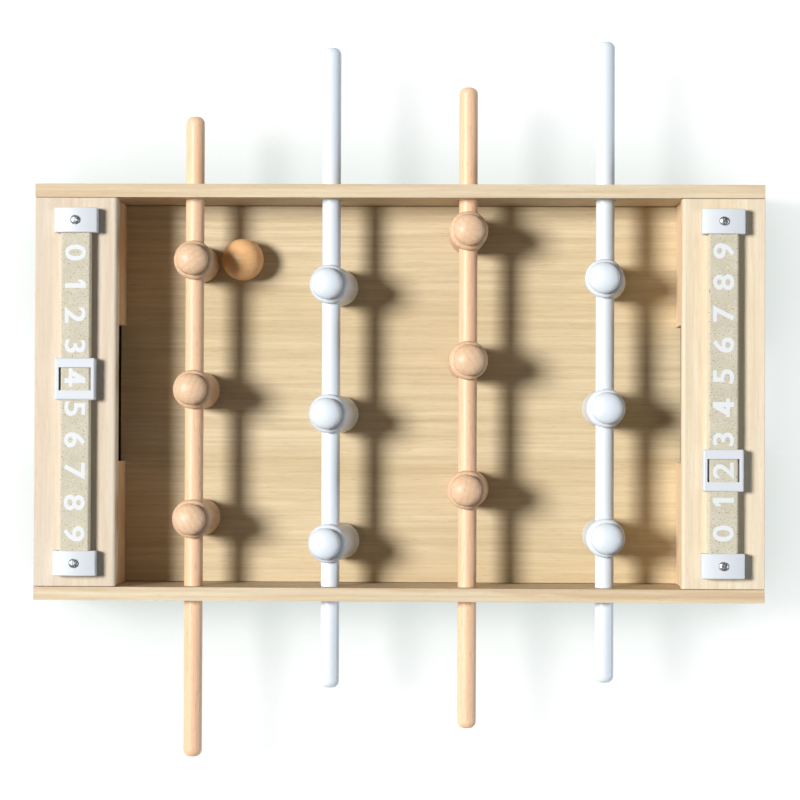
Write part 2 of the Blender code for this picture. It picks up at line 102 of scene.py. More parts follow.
def add(material, kind, inputs=None, **settings):
    """Adds a node. inputs maps socket names or numbers to values or to other nodes' sockets."""
    node = material.node_tree.nodes.new(kind)
    for key, value in settings.items():
        setattr(node, key, value)
    for key, value in (inputs or {}).items():
        if isinstance(value, bpy.types.NodeSocket):
            material.node_tree.links.new(value, node.inputs[key])
        else:
            node.inputs[key].default_value = value
    return node


def object_place(material, scale=(1, 1, 1), shift=(0, 0, 0)):
    """Object coordinates, stretched and shifted."""
    where = add(material, "ShaderNodeTexCoord").outputs["Object"]
    return add(
        material, "ShaderNodeMapping", {"Vector": where, "Scale": scale, "Location": shift}
    ).outputs[0]


def noise(material, where, detail=2.0, scale=1.0):
    return add(
        material, "ShaderNodeTexNoise", {"Vector": where, "Scale": scale, "Detail": detail}
    ).outputs["Fac"]


def ramp(material, factor, stops):
    """A colour ramp through stops of (place, colour or grey)."""
    node = add(material, "ShaderNodeValToRGB", {"Fac": factor})
    elements = node.color_ramp.elements
    while len(elements) < len(stops):
        elements.new(0.5)
    for element, (place, colour) in zip(elements, stops):
        element.position = place
        grey = isinstance(colour, (int, float))
        element.color = (colour, colour, colour, 1) if grey else (*colour, 1)
    return node.outputs["Color"]


def blend(material, factor, first, second, how="MIX"):
    """Mixes two colours, each a socket or three numbers."""
    def as_input(value):
        return value if isinstance(value, bpy.types.NodeSocket) else (*value, 1)

    node = add(
        material,
        "ShaderNodeMix",
        {0: factor, 6: as_input(first), 7: as_input(second)},
        data_type="RGBA",
        blend_type=how,
    )
    return node.outputs[2]


def set_bump(material, height, strength, distance):
    bump = add(
        material,
        "ShaderNodeBump",
        {"Height": height, "Strength": strength, "Distance": distance},
    )
    material.node_tree.links.new(bump.outputs[0], shader_of(material).inputs["Normal"])


def set_colour(material, colour):
    material.node_tree.links.new(colour, shader_of(material).inputs["Base Color"])


def set_roughness(material, factor, low, high):
    """Roughness that runs from low to high as factor runs from 0 to 1."""
    spread = add(
        material,
        "ShaderNodeMapRange",
        {"Value": factor, "To Min": low, "To Max": high},
    )
    material.node_tree.links.new(spread.outputs[0], shader_of(material).inputs["Roughness"])


# %% [markdown]
# ## Wood
#
# Sawn wood is a slice through rings that stand round the tree's pith. A flat picture of grain
# breaks at every edge, so the wood here is a solid one: rings round a far-off axis, bent a little
# by slow noise, then thin streaks, fine fibres and short pores that all run along the board. A cut
# through it shows lines along a board and arcs on the domed head of a peg, as real wood does.


# %% Wood, as a solid
# Each pattern below is (scale along the grain, scale across it).
AXES = {"X": 0, "Y": 1, "Z": 2}
BEND_PATTERN = (2.2, 16)
STREAK_PATTERN = (7, 330)
PATCH_PATTERN = (3, 22)
FIBRE_PATTERN = (900 / 24, 900)
PORE_PATTERN = (900 / 7, 1800)
WAVE_SCALE_FOR_ONE_METRE = 2 * math.pi / 20
PORE_DARKNESS = 0.55
GRAIN_STRENGTH, GRAIN_DEPTH = 0.25, 0.0002
WOOD_SHINE = 0.35


def along_grain(grain, along, across):
    """Pattern scale: slow along the grain, fast across it."""
    return tuple(along if axis == AXES[grain] else across for axis in range(3))


def wood(name, grain, pale, deep, warm, pith, ring_gap=0.006, ring_share=0.5,
         streak_share=0.5, pore_share=0.25, roughness=(0.5, 0.68), wander=0.010):
    """Solid wood: pale early wood, deep late wood, and warm patches between them."""
    material = new_finish(name, roughness[1], WOOD_SHINE)
    slow = add(
        material,
        "ShaderNodeTexNoise",
        {"Vector": object_place(material, along_grain(grain, *BEND_PATTERN), pith),
         "Scale": 1.0, "Detail": 3.0},
    ).outputs["Color"]
    bent = add(
        material,
        "ShaderNodeVectorMath",
        {0: slow, 1: (wander, wander, wander), 2: object_place(material, (1, 1, 1), pith)},
        operation="MULTIPLY_ADD",
    ).outputs[0]
    rings = add(
        material,
        "ShaderNodeTexWave",
        {"Vector": bent, "Scale": WAVE_SCALE_FOR_ONE_METRE / ring_gap, "Distortion": 1.2,
         "Detail": 2.0, "Detail Scale": 0.4},
        wave_type="RINGS",
        rings_direction=grain,
        wave_profile="SAW",
    ).outputs["Fac"]
    ring_line = ramp(material, rings, [(0.0, 0.0), (0.55, 0.12), (0.9, 0.75), (1.0, 0.2)])
    streak = ramp(
        material,
        noise(material, object_place(material, along_grain(grain, *STREAK_PATTERN), pith), 3.0),
        [(0.35, 0.0), (0.72, 1.0)],
    )
    patch = ramp(
        material,
        noise(material, object_place(material, along_grain(grain, *PATCH_PATTERN), pith), 2.0),
        [(0.35, 0.0), (0.7, 1.0)],
    )
    fine = noise(material, object_place(material, along_grain(grain, *FIBRE_PATTERN)), 3.0)
    pore = ramp(
        material,
        noise(material, object_place(material, along_grain(grain, *PORE_PATTERN)), 2.0),
        [(0.60, 0.0), (0.72, 1.0)],
    )
    colour = blend(material, patch, pale, warm)
    ring_amount = blend(material, ring_share, (0, 0, 0), ring_line)
    colour = blend(material, ring_amount, colour, deep)
    streak_amount = blend(material, streak_share, (0, 0, 0), streak)
    colour = blend(material, streak_amount, colour, deep)
    pore_amount = blend(material, pore_share, (0, 0, 0), pore)
    dark = tuple(channel * PORE_DARKNESS for channel in deep)
    colour = blend(material, pore_amount, colour, dark)
    shade = ramp(material, fine, [(0.3, 0.9), (0.7, 1.0)])
    colour = blend(material, 1.0, colour, shade, "MULTIPLY")
    set_colour(material, colour)
    set_roughness(material, fine, *roughness)
    set_bump(material, fine, GRAIN_STRENGTH, GRAIN_DEPTH)
    return material


PANEL_WOOD = wood(
    "pale_board_lengthways", "X", (0.69, 0.594, 0.425), (0.485, 0.31, 0.17), (0.65, 0.53, 0.36),
    (0.1, 0.03, 0.35), ring_gap=0.005, ring_share=0.6, streak_share=0.55,
)
# The two ends share one pale wood in two copies. The left one, nearer the lamp, is painted darker,
# and the right one is painted lighter, to even out the lamp's fall from left to right.
LEFT_WOOD_PAINTED_DARKER = wood(
    "pale_board_left_painted_darker", "Y", (0.66, 0.585, 0.485), (0.56, 0.41, 0.27), (0.64, 0.55, 0.43),
    (0.31, 0.2, 0.12), ring_gap=0.010, ring_share=0.35, streak_share=0.4,
)
RIGHT_WOOD_PAINTED_LIGHTER = wood(
    "pale_board_right_painted_lighter", "Y", (0.75, 0.67, 0.52), (0.62, 0.46, 0.30), (0.73, 0.63, 0.47),
    (0.27, 0.1, 0.17), ring_gap=0.010, ring_share=0.35, streak_share=0.4,
)
# The goal walls are paler than the pitch board: painted bounce light, because their faces stand in
# the decks' shade.
GOAL_WALL_WOOD_PAINTED_LIGHT = wood(
    "wall_board_painted_light", "Y", (0.84, 0.66, 0.44), (0.66, 0.44, 0.26), (0.80, 0.60, 0.39),
    (0.11, 0.5, 0.07), ring_gap=0.008, ring_share=0.35, streak_share=0.4,
)
PITCH_WOOD = wood(
    "pitch_board_wood", "X", (0.645, 0.54, 0.365), (0.435, 0.32, 0.173), (0.60, 0.483, 0.298),
    (0.3, 0.06, 0.05), ring_gap=0.011, ring_share=0.38, streak_share=0.5, wander=0.02,
)
BEECH_ROD = wood(
    "beech_rod", "Y", (0.87, 0.585, 0.385), (0.69, 0.40, 0.24), (0.85, 0.548, 0.348),
    (0.02, 0.1, 0.09), ring_gap=0.004, ring_share=0.3, streak_share=0.3, pore_share=0.5,
    roughness=(0.38, 0.5),
)
BEECH_PEG = wood(
    "beech_peg", "Z", (0.78, 0.55, 0.37), (0.58, 0.355, 0.21), (0.75, 0.51, 0.335),
    (0.05, 0.03, 0.1), ring_gap=0.004, ring_share=0.32, streak_share=0.3, pore_share=0.55,
    roughness=(0.36, 0.48),
)
BALL_FINISH = wood(
    "ball_wood_waxed", "X", (0.93, 0.575, 0.285), (0.72, 0.38, 0.16), (0.90, 0.53, 0.25),
    (0.02, 0.01, 0.03), ring_gap=0.006, ring_share=0.2, streak_share=0.15, pore_share=0.2,
    roughness=(0.34, 0.44),
)
# The ball trays and their risers are nearly black: painted shade for the unlit cavity behind each
# goal mouth.
TRAY_WOOD_PAINTED_SHADE = wood(
    "tray_board_painted_shade", "Y", (0.050, 0.038, 0.030), (0.028, 0.020, 0.015), (0.044, 0.032, 0.025),
    (0.2, 0.1, 0.04), ring_gap=0.008, ring_share=0.4, streak_share=0.4, roughness=(0.6, 0.75),
)
WOODS = (PANEL_WOOD, LEFT_WOOD_PAINTED_DARKER, RIGHT_WOOD_PAINTED_LIGHTER, GOAL_WALL_WOOD_PAINTED_LIGHT, PITCH_WOOD, BEECH_ROD, BEECH_PEG,
         BALL_FINISH, TRAY_WOOD_PAINTED_SHADE)
print("woods:", [material.name for material in WOODS])

# %% [markdown]
# ## White paint and white plastic
#
# Neither is pure white. Sprayed paint has a very faint orange peel, and moulded plastic a faint
# flow. Both are a touch blue, which is what keeps them crisp beside warm wood.


# %% White finishes
WHITE_SHINE = 0.35
CLOUD_SCALE = 60
SKIN_DEPTH = 0.00015
SMOOTHER, ROUGHER = 0.05, 0.07


def white(name, colour, tint, roughness, peel, strength):
    """A nearly even white with a faint surface that catches the light."""
    material = new_finish(name, roughness, WHITE_SHINE)
    where = object_place(material)
    cloud = noise(material, where, 2.0, CLOUD_SCALE)
    set_colour(material, blend(material, cloud, colour, tint))
    skin = noise(material, where, 3.0, peel)
    set_roughness(material, skin, roughness - SMOOTHER, roughness + ROUGHER)
    set_bump(material, skin, strength, SKIN_DEPTH)
    return material


WHITE_PAINT = white("white_paint_sprayed", (0.68, 0.735, 0.80), (0.66, 0.72, 0.79), 0.36, 700, 0.08)
WHITE_PLASTIC = white(
    "white_plastic_moulded", (0.60, 0.635, 0.68), (0.585, 0.62, 0.67), 0.42, 1400, 0.05
)
DIGIT_PRINT = white("white_print", (0.66, 0.685, 0.715), (0.63, 0.66, 0.695), 0.6, 2600, 0.1)

# %% [markdown]
# ## Speckled bar, steel and rubber
#
# The number bars are cut from a grey-beige board full of tiny specks: two layers of noise, cut
# off high, leave brown and pale dots. The screws are plated steel with turning marks, and the feet
# are matt rubber.


# %% Bar, steel and rubber
BOARD_DULL, BOARD_PALE = (0.50, 0.47, 0.37), (0.57, 0.54, 0.44)
BOARD_GRAIN, GRAIN_SHARE = (0.38, 0.34, 0.26), 0.22
BROWN_SPECK, PALE_SPECK = (0.34, 0.21, 0.12), (0.72, 0.70, 0.62)


def speckled_board():
    """A clouded, finely grained board with brown and pale specks."""
    material = new_finish("bar_speckled", 0.7, 0.3)
    where = object_place(material)
    cloud = ramp(material, noise(material, where, 3.0, 90), [(0.3, 0.0), (0.7, 1.0)])
    colour = blend(material, cloud, BOARD_DULL, BOARD_PALE)
    grain = ramp(material, noise(material, where, 2.0, 1100), [(0.4, 0.0), (0.62, 1.0)])
    grain = blend(material, GRAIN_SHARE, (0, 0, 0), grain)
    colour = blend(material, grain, colour, BOARD_GRAIN)
    specks = ramp(material, noise(material, where, 1.0, 900), [(0.62, 0.0), (0.69, 0.9)])
    colour = blend(material, specks, colour, BROWN_SPECK)
    flecks = ramp(
        material,
        noise(material, object_place(material, (1, 1, 1), (0.3, 0.2, 0.1)), 1.0, 800),
        [(0.67, 0.0), (0.72, 0.4)],
    )
    colour = blend(material, flecks, colour, PALE_SPECK)
    set_colour(material, colour)
    set_bump(material, noise(material, where, 3.0, 1500), 0.3, 0.0002)
    set_roughness(material, cloud, 0.62, 0.75)
    return material


def plated_steel():
    material = new_finish("steel_plated", 0.3)
    shader_of(material).inputs["Metallic"].default_value = 1.0
    where = object_place(material)
    stain = noise(material, where, 2.0, 300)
    set_colour(material, blend(material, stain, (0.45, 0.47, 0.49), (0.62, 0.64, 0.66)))
    set_roughness(material, stain, 0.25, 0.42)
    set_bump(material, noise(material, where, 2.0, 2500), 0.2, 0.0001)
    return material


def matt_rubber():
    material = new_finish("rubber_matt", 0.85, 0.3)
    where = object_place(material)
    dust = noise(material, where, 3.0, 240)
    set_colour(material, blend(material, dust, (0.022, 0.022, 0.023), (0.05, 0.05, 0.05)))
    set_roughness(material, dust, 0.75, 0.95)
    set_bump(material, noise(material, where, 2.0, 1800), 0.4, 0.0002)
    return material


BAR_FINISH = speckled_board()
STEEL = plated_steel()
RUBBER = matt_rubber()

# %% [markdown]
# ## Boards that stay as the CAD has them
#
# The pitch, the goal walls, the end panels, the ball trays with their risers and the feet already
# have the right shape, so they only take a finish. Each keeps its own mesh.

# %% Dress the carried-over boards
CARRIED = {
    "pitch_board": PITCH_WOOD,
    # The goal walls take the paler board, which paints bounce light into their shade.
    "left_goal_wall": GOAL_WALL_WOOD_PAINTED_LIGHT,
    "right_goal_wall": GOAL_WALL_WOOD_PAINTED_LIGHT,
    # The end panels take the same two copies, painted darker on the left and lighter on the right.
    "left_end_panel": LEFT_WOOD_PAINTED_DARKER,
    "right_end_panel": RIGHT_WOOD_PAINTED_LIGHTER,
    # The trays and risers take the nearly black board, which paints the shade behind each goal
    # mouth.
    "left_ball_tray": TRAY_WOOD_PAINTED_SHADE,
    "right_ball_tray": TRAY_WOOD_PAINTED_SHADE,
    "left_tray_riser": TRAY_WOOD_PAINTED_SHADE,
    "right_tray_riser": TRAY_WOOD_PAINTED_SHADE,
}
for side in ("left", "right"):
    for end in ("back", "front"):
        CARRIED[f"{side}_{end}_foot_pad"] = RUBBER
for node_name, finish in CARRIED.items():
    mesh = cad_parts[node_name].data
    mesh.materials.clear()
    mesh.materials.append(finish)
print("carried over:", len(CARRIED))

# %% [markdown]
# ## Modelling helpers
#
# Pieces are built as by hand. A primitive is added at its size and place, shaped in edit mode, and
# finished with modifiers that are applied at once. An operator acts on everything selected, so
# each step starts by deselecting all, and picks its edges in code by where they are.


# %% Helpers for modelling
NEAR = 0.00001
CUT_PAST = 0.01


def start_piece(name):
    """Takes over the primitive just added: names it and puts its place into its mesh."""
    piece = bpy.context.object
    piece.name = name
    bpy.ops.object.transform_apply(location=True, rotation=True, scale=True)
    return piece


def block(name, low, high):
    """A box between two corners."""
    bpy.ops.object.select_all(action="DESELECT")
    middle = [(a + b) / 2 for a, b in zip(low, high)]
    size = [b - a for a, b in zip(low, high)]
    bpy.ops.mesh.primitive_cube_add(size=1, location=middle, scale=size)
    return start_piece(name)


def peg(name, radius, length, middle, grain="Y", sides=96):
    """A cylinder along one axis, which is also the way its grain runs."""
    bpy.ops.object.select_all(action="DESELECT")
    turn = {"X": (0, math.pi / 2, 0), "Y": (math.pi / 2, 0, 0), "Z": (0, 0, 0)}[grain]
    bpy.ops.mesh.primitive_cylinder_add(
        vertices=sides, radius=radius, depth=length, location=middle, rotation=turn
    )
    return start_piece(name)


def edit(piece):
    """Enters edit mode on one piece with nothing selected."""
    bpy.ops.object.select_all(action="DESELECT")
    piece.select_set(True)
    bpy.context.view_layer.objects.active = piece
    bpy.ops.object.mode_set(mode="EDIT")
    bpy.ops.mesh.select_all(action="DESELECT")


def pick_edges(piece, test):
    """Selects the edges whose two ends pass the test."""
    bpy.ops.mesh.select_mode(type="EDGE")
    shape = bmesh.from_edit_mesh(piece.data)
    for edge in shape.edges:
        edge.select_set(all(test(vertex.co) for vertex in edge.verts))
    bmesh.update_edit_mesh(piece.data)
    return sum(edge.select for edge in shape.edges)


def leave_edit():
    """Joins doubled points, turns every face outwards and leaves edit mode."""
    bpy.ops.mesh.select_all(action="SELECT")
    bpy.ops.mesh.remove_doubles(threshold=0.000002)
    bpy.ops.mesh.normals_make_consistent(inside=False)
    bpy.ops.object.mode_set(mode="OBJECT")


def use_modifier(piece, kind, **settings):
    """Adds a modifier and applies it."""
    modifier = piece.modifiers.new(kind.title(), kind)
    for key, value in settings.items():
        setattr(modifier, key, value)
    bpy.ops.object.select_all(action="DESELECT")
    piece.select_set(True)
    bpy.context.view_layer.objects.active = piece
    bpy.ops.object.modifier_apply(modifier=modifier.name)


def cut(piece, *cutters):
    """Takes each cutter away from the piece, and then removes the cutter."""
    for cutter in cutters:
        use_modifier(piece, "BOOLEAN", object=cutter, operation="DIFFERENCE", solver="EXACT")
        bpy.data.objects.remove(cutter)


def ease(piece, width, segments=3, angle=35):
    """Rounds every sharp edge a little, as sandpaper or a mould does."""
    use_modifier(
        piece, "BEVEL", width=width, segments=segments, limit_method="ANGLE",
        angle_limit=math.radians(angle), miter_outer="MITER_ARC",
    )


def smooth(piece, angle=40):
    """Shades round faces smoothly and keeps edges sharper than the angle, in degrees."""
    bpy.ops.object.select_all(action="DESELECT")
    piece.select_set(True)
    bpy.context.view_layer.objects.active = piece
    bpy.ops.object.shade_smooth_by_angle(angle=math.radians(angle))
    use_modifier(piece, "WEIGHTED_NORMAL", keep_sharp=True)


def hand_over(piece, finish, body, slot, *nodes):
    """Gives a finished piece its finish and its body, and hides the CAD nodes it stands for."""
    piece.data.materials.clear()
    piece.data.materials.append(finish)
    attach(piece, body)
    if nodes:
        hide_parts(*nodes)


def copy_of(pattern, name, placing):
    """A copy with its own mesh, moved inside that mesh."""
    piece = pattern.copy()
    piece.data = pattern.data.copy()
    piece.name = name
    piece.data.transform(placing)
    bpy.context.scene.collection.objects.link(piece)
    return piece


# %% [markdown]
# ## Side panels
#
# Two long boards hold everything. Each is a box with four round holes bored through it. Then every
# edge is eased, the rims of the holes too, because raw edges look like cut card.

# %% Side panels
HOLE_RADIUS = 0.0073
BORE_LENGTH = 0.05
PANEL_EASE = 0.0007
RODS = (1, 2, 3, 4)


def rod_axis(number):
    """Where a rod's axis crosses the plane y = 0."""
    low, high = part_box(f"rod_{number}")
    return Vector(((low.x + high.x) / 2, 0, (low.z + high.z) / 2))


for end in ("back", "front"):
    low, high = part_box(f"{end}_side_panel")
    panel = block(f"{end}_side_board", low, high)
    for number in RODS:
        axis = rod_axis(number)
        hole = peg("hole", HOLE_RADIUS, BORE_LENGTH, (axis.x, (low.y + high.y) / 2, axis.z))
        cut(panel, hole)
    ease(panel, PANEL_EASE)
    smooth(panel)
    hand_over(panel, PANEL_WOOD, "table", "pale_wood", f"{end}_side_panel")
    print(panel.name, len(panel.data.polygons), "faces")

# %% [markdown]
# ## Score decks
#
# A deck is the top of each end block. Its edge towards the pitch is rounded by hand, more than the
# others, so that edge is bevelled on its own in edit mode and the rest is only eased.

# %% Score decks
DECK_EDGE = 0.0025
DECK_EASE = 0.0005
# Each deck takes its end's copy of the pale wood: painted darker on the left, lighter on the right.
for side, finish in (("left", LEFT_WOOD_PAINTED_DARKER), ("right", RIGHT_WOOD_PAINTED_LIGHTER)):
    low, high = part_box(f"{side}_score_deck")
    deck = block(f"{side}_deck_board", low, high)
    inner = high.x if side == "left" else low.x
    edit(deck)
    found = pick_edges(deck, lambda co: abs(co.x - inner) < NEAR and abs(co.z - high.z) < NEAR)
    bpy.ops.mesh.bevel(offset=DECK_EDGE, segments=8, profile=0.5)
    leave_edit()
    ease(deck, DECK_EASE, 3, 50)
    smooth(deck)
    hand_over(deck, finish, "table", "pale_wood", f"{side}_score_deck")
    print(deck.name, "inner edges rounded:", found)

# %% [markdown]
# ## Rods
#
# A rod is a dowel with soft, domed tips. A cylinder with fine sides is right for it, once the rim
# of each end is bevelled almost to the middle.

# %% Rods
TIP_ROUND = 0.0046
FINISH_OF_TEAM = {"natural": ("beech", BEECH_ROD), "white": ("white_paint", WHITE_PAINT)}
TEAM = {1: "natural", 2: "white", 3: "natural", 4: "white"}
for number in RODS:
    low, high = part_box(f"rod_{number}")
    middle = (low + high) / 2
    radius = (high.z - low.z) / 2
    dowel = peg(f"rod_{number}_dowel_turned", radius, high.y - low.y, middle)
    edit(dowel)
    for tip in (low.y, high.y):
        pick_edges(dowel, lambda co: abs(co.y - tip) < NEAR)
        bpy.ops.mesh.bevel(offset=TIP_ROUND, segments=8, profile=0.5)
    leave_edit()
    smooth(dowel)
    slot, finish = FINISH_OF_TEAM[TEAM[number]]
    hand_over(dowel, finish, f"rod_{number}_dowel", slot, f"rod_{number}")
    print(dowel.name, round(2 * radius * 1000, 2), "mm thick")

# %% [markdown]
# ## Players
#
# Each player is a peg turned on a lathe: a round sole, a straight body, a rounded shoulder, a
# groove, and a domed knob. On a computer a lathe is a circle that is extruded upwards ring by ring
# and scaled at every step. One peg is shaped on the rod's own axis and bored for the rod. The
# other eleven are copies, each glued on at its own small lean.

# %% Turn one player
KNOB_RADIUS, KNOB_MIDDLE, KNOB_TOP = 0.0107, 0.0190, 0.0260
NECK_RADIUS, NECK_HEIGHT = 0.0090, 0.0142
SHOULDER_RADIUS, SHOULDER_HEIGHT = 0.0132, 0.0095
BODY_RADIUS, SOLE = 0.0126, -0.0390
SOLE_ROUND, SOLE_MIDDLE = 0.0025, 0.004
NECK_GROOVE = 0.0008
KNOB_TUCK, KNOB_TUCK_RISE = 0.001, 0.0022
ROD_FIT = 0.0064


def arc(centre, radii, start, end, steps):
    """Points on an ellipse in (radius, height), between two angles in degrees."""
    points = []
    for step in range(steps + 1):
        angle = math.radians(start + (end - start) * step / steps)
        points.append(
            (centre[0] + radii[0] * math.cos(angle), centre[1] + radii[1] * math.sin(angle))
        )
    return points


def turned_piece(name, rings, sides=72):
    """Extrudes a circle upwards through rings of (radius, height) and closes both ends."""
    bpy.ops.object.select_all(action="DESELECT")
    radius, height = rings[0]
    bpy.ops.mesh.primitive_circle_add(
        vertices=sides, radius=radius, fill_type="NGON", location=(0, 0, height)
    )
    piece = start_piece(name)
    edit(piece)
    bpy.ops.mesh.select_all(action="SELECT")
    for new_radius, new_height in rings[1:]:
        bpy.ops.mesh.extrude_region_move(
            TRANSFORM_OT_translate={"value": (0, 0, new_height - height)}
        )
        bpy.ops.transform.resize(
            value=(new_radius / radius, new_radius / radius, 1),
            center_override=(0, 0, new_height),
        )
        radius, height = new_radius, new_height
    leave_edit()
    return piece


def player_rings():
    """The lathe's outline, from the middle of the sole up to the top of the knob."""
    shoulder_rise = NECK_HEIGHT - SHOULDER_HEIGHT
    sole = arc((BODY_RADIUS - SOLE_ROUND, SOLE + SOLE_ROUND), (SOLE_ROUND,) * 2, -90, 0, 6)
    shoulder = arc(
        (NECK_RADIUS, SHOULDER_HEIGHT),
        (SHOULDER_RADIUS - NECK_RADIUS, shoulder_rise - NECK_GROOVE), 0, 90, 10,
    )
    knob = arc((0, KNOB_MIDDLE), (KNOB_RADIUS, KNOB_TOP - KNOB_MIDDLE), 0, 86, 14)
    under_knob = arc(
        (NECK_RADIUS, KNOB_MIDDLE - KNOB_TUCK),
        (KNOB_RADIUS - NECK_RADIUS, KNOB_TUCK_RISE), -70, 0, 4,
    )
    neck = (NECK_RADIUS, NECK_HEIGHT)
    return [(SOLE_MIDDLE, SOLE), *sole, *shoulder, neck, *under_knob, *knob]


PATTERN = turned_piece("player_pattern", player_rings())
cut(PATTERN, peg("bore", ROD_FIT, BORE_LENGTH, (0, 0, 0)))
smooth(PATTERN, 35)
print("player:", len(PATTERN.data.vertices), "points")

# %% Glue the players on
LEANS = {1: (-1, -2.5, -3.5), 2: (-7, -8, -9.5), 3: (1, 2, -4), 4: (-6, 1.5, 1)}
PLAYER_FINISH = {"natural": ("beech", BEECH_PEG), "white": ("white_paint", WHITE_PAINT)}
for number in RODS:
    slot, finish = PLAYER_FINISH[TEAM[number]]
    for place, lean in enumerate(LEANS[number], start=1):
        node_name = f"rod_{number}_player_{place}"
        low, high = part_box(node_name)
        middle = rod_axis(number)
        middle.y = (low.y + high.y) / 2
        turn = Matrix.Rotation(math.radians(lean), 4, "Y")
        twist = Matrix.Rotation(math.pi if place == 2 else 0, 4, "Z")
        player = copy_of(
            PATTERN, f"{node_name}_turned", Matrix.Translation(middle) @ turn @ twist
        )
        hand_over(player, finish, f"rod_{number}_players", slot, node_name)
bpy.data.objects.remove(PATTERN)
print("players:", sum(len(leans) for leans in LEANS.values()))

# %% [markdown]
# ## Ball
#
# A ball that has poles shows them in its shine. A cube that is subdivided and pushed out to a
# sphere has none, so that is how this one is made.

# %% Ball
BALL_CUTS = 23
low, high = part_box("ball")
ball = block("ball_turned", low, high)
ball_middle = (low + high) / 2
ball_radius = (high.x - low.x) / 2
edit(ball)
bpy.ops.mesh.select_all(action="SELECT")
bpy.ops.mesh.subdivide(number_cuts=BALL_CUTS)
bpy.ops.transform.tosphere(value=1, center_override=ball_middle)
shape = bmesh.from_edit_mesh(ball.data)
swollen = sum((v.co - ball_middle).length for v in shape.verts) / len(shape.verts)
bpy.ops.transform.resize(value=(ball_radius / swollen,) * 3, center_override=ball_middle)
leave_edit()
smooth(ball, 60)
hand_over(ball, BALL_FINISH, "ball", "ball_wood", "ball")
print("ball, mm:", [round(v * 1000, 2) for v in ball.dimensions])

# %% [markdown]
# ## Number bars
#
# Each counter is a wooden strip with a speckled face. Its two long upper edges are well rounded,
# and the speckle ends on that rounding. So the strip carries two finishes: the speckled one on
# every face that looks up, and plain wood on its sides and its ends.

# %% Number bars
BAR_ROUND = 0.0015
LOOKS_UP = 0.4
for side in ("left", "right"):
    low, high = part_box(f"{side}_score_bar")
    bar = block(f"{side}_number_bar", low, high)
    edit(bar)
    for edge_x in (low.x, high.x):
        pick_edges(bar, lambda co: abs(co.x - edge_x) < NEAR and abs(co.z - high.z) < NEAR)
        bpy.ops.mesh.bevel(offset=BAR_ROUND, segments=6, profile=0.5)
    leave_edit()
    smooth(bar)
    hand_over(bar, BAR_FINISH, "table", "bar_board", f"{side}_score_bar")
    # The bare sides take the right end's copy of the pale wood, which is painted lighter.
    bar.data.materials.append(RIGHT_WOOD_PAINTED_LIGHTER)
    for face in bar.data.polygons:
        face.material_index = 0 if face.normal.z > LOOKS_UP else 1
    print(bar.name, "faces of bare wood:", sum(f.material_index for f in bar.data.polygons))

# %% [markdown]
# ## Numbers
#
# The numbers 0 to 9 are printed on each bar in a bold plain face, to be read from the nearer goal.
# A text object gives the outline. It is turned into a mesh before it is placed, the 1 gets the flag
# that this face lacks, and the 4 is built from three blocks, because a bolder outline would close
# its hole. Each is a tenth of a millimetre thick, so that the print lies on the bar cleanly.

# %% Numbers
DIGIT_HEIGHT = 0.0140
DIGIT_SPACING = 0.0209
DIGIT_SHIFT = 0.0011
DIGIT_WEIGHT = 0.02
DIGIT_STRETCH = 1.18
FLAG_ROOT, FLAG_REACH, FLAG_DROP = 0.26, 0.75, 0.17
PRINT_THICKNESS = 0.0001


def add_flag(text):
    """Pulls a slanted flag out of the left side of a 1, near its top."""
    corners = [vertex.co.copy() for vertex in text.data.vertices]
    left, right = min(co.x for co in corners), max(co.x for co in corners)
    bottom, top = min(co.y for co in corners), max(co.y for co in corners)
    stroke, tall = right - left, top - bottom
    root = top - FLAG_ROOT * tall
    edit(text)
    bpy.ops.mesh.select_all(action="SELECT")
    bpy.ops.mesh.bisect(plane_co=(0, root, 0), plane_no=(0, 1, 0))
    pick_edges(text, lambda co: co.x < left + 0.01 * stroke and co.y > root - 0.01 * tall)
    bpy.ops.mesh.extrude_region_move(
        TRANSFORM_OT_translate={"value": (-FLAG_REACH * stroke, -FLAG_DROP * tall, 0)}
    )
    bpy.ops.object.mode_set(mode="OBJECT")


def built_four():
    """The 4, one unit tall and thick: a stem, a bar and a slanted stroke, joined into one solid."""
    stem = block("four", (0.40, 0, 0), (0.60, 1, 1))
    bar = block("bar", (0, 0.20, 0), (0.74, 0.38, 1))
    stroke = block("stroke", (0, 0.20, 0), (0.22, 1, 1))
    edit(stroke)
    pick_edges(stroke, lambda co: co.y > 0.9)
    bpy.ops.transform.translate(value=(0.38, 0, 0))
    leave_edit()
    for other in (bar, stroke):
        use_modifier(stem, "BOOLEAN", object=other, operation="UNION", solver="EXACT")
        bpy.data.objects.remove(other)
    return stem


def outlined(digit):
    """Any other digit, from the built-in face, made bolder and one unit thick."""
    bpy.ops.object.select_all(action="DESELECT")
    bpy.ops.object.text_add()
    text = bpy.context.object
    text.data.body = str(digit)
    text.data.offset = DIGIT_WEIGHT
    text.data.resolution_u = 8
    bpy.ops.object.convert(target="MESH")
    text = bpy.context.object
    if digit == 1:
        add_flag(text)
    edit(text)
    bpy.ops.mesh.select_all(action="SELECT")
    bpy.ops.mesh.extrude_region_move(TRANSFORM_OT_translate={"value": (0, 0, 1)})
    leave_edit()
    return text


def digit_mesh(digit):
    """One bold digit, DIGIT_HEIGHT tall and a print's thickness deep, centred on the origin."""
    text = built_four() if digit == 4 else outlined(digit)
    corners = [vertex.co for vertex in text.data.vertices]
    low = Vector([min(co[axis] for co in corners) for axis in range(3)])
    high = Vector([max(co[axis] for co in corners) for axis in range(3)])
    middle = (low + high) / 2
    scale = DIGIT_HEIGHT / (high.y - low.y)
    depth = PRINT_THICKNESS / (high.z - low.z)
    sizes = Matrix.Diagonal((scale * DIGIT_STRETCH, scale, depth, 1))
    text.data.transform(sizes @ Matrix.Translation((-middle.x, -middle.y, -low.z)))
    return text


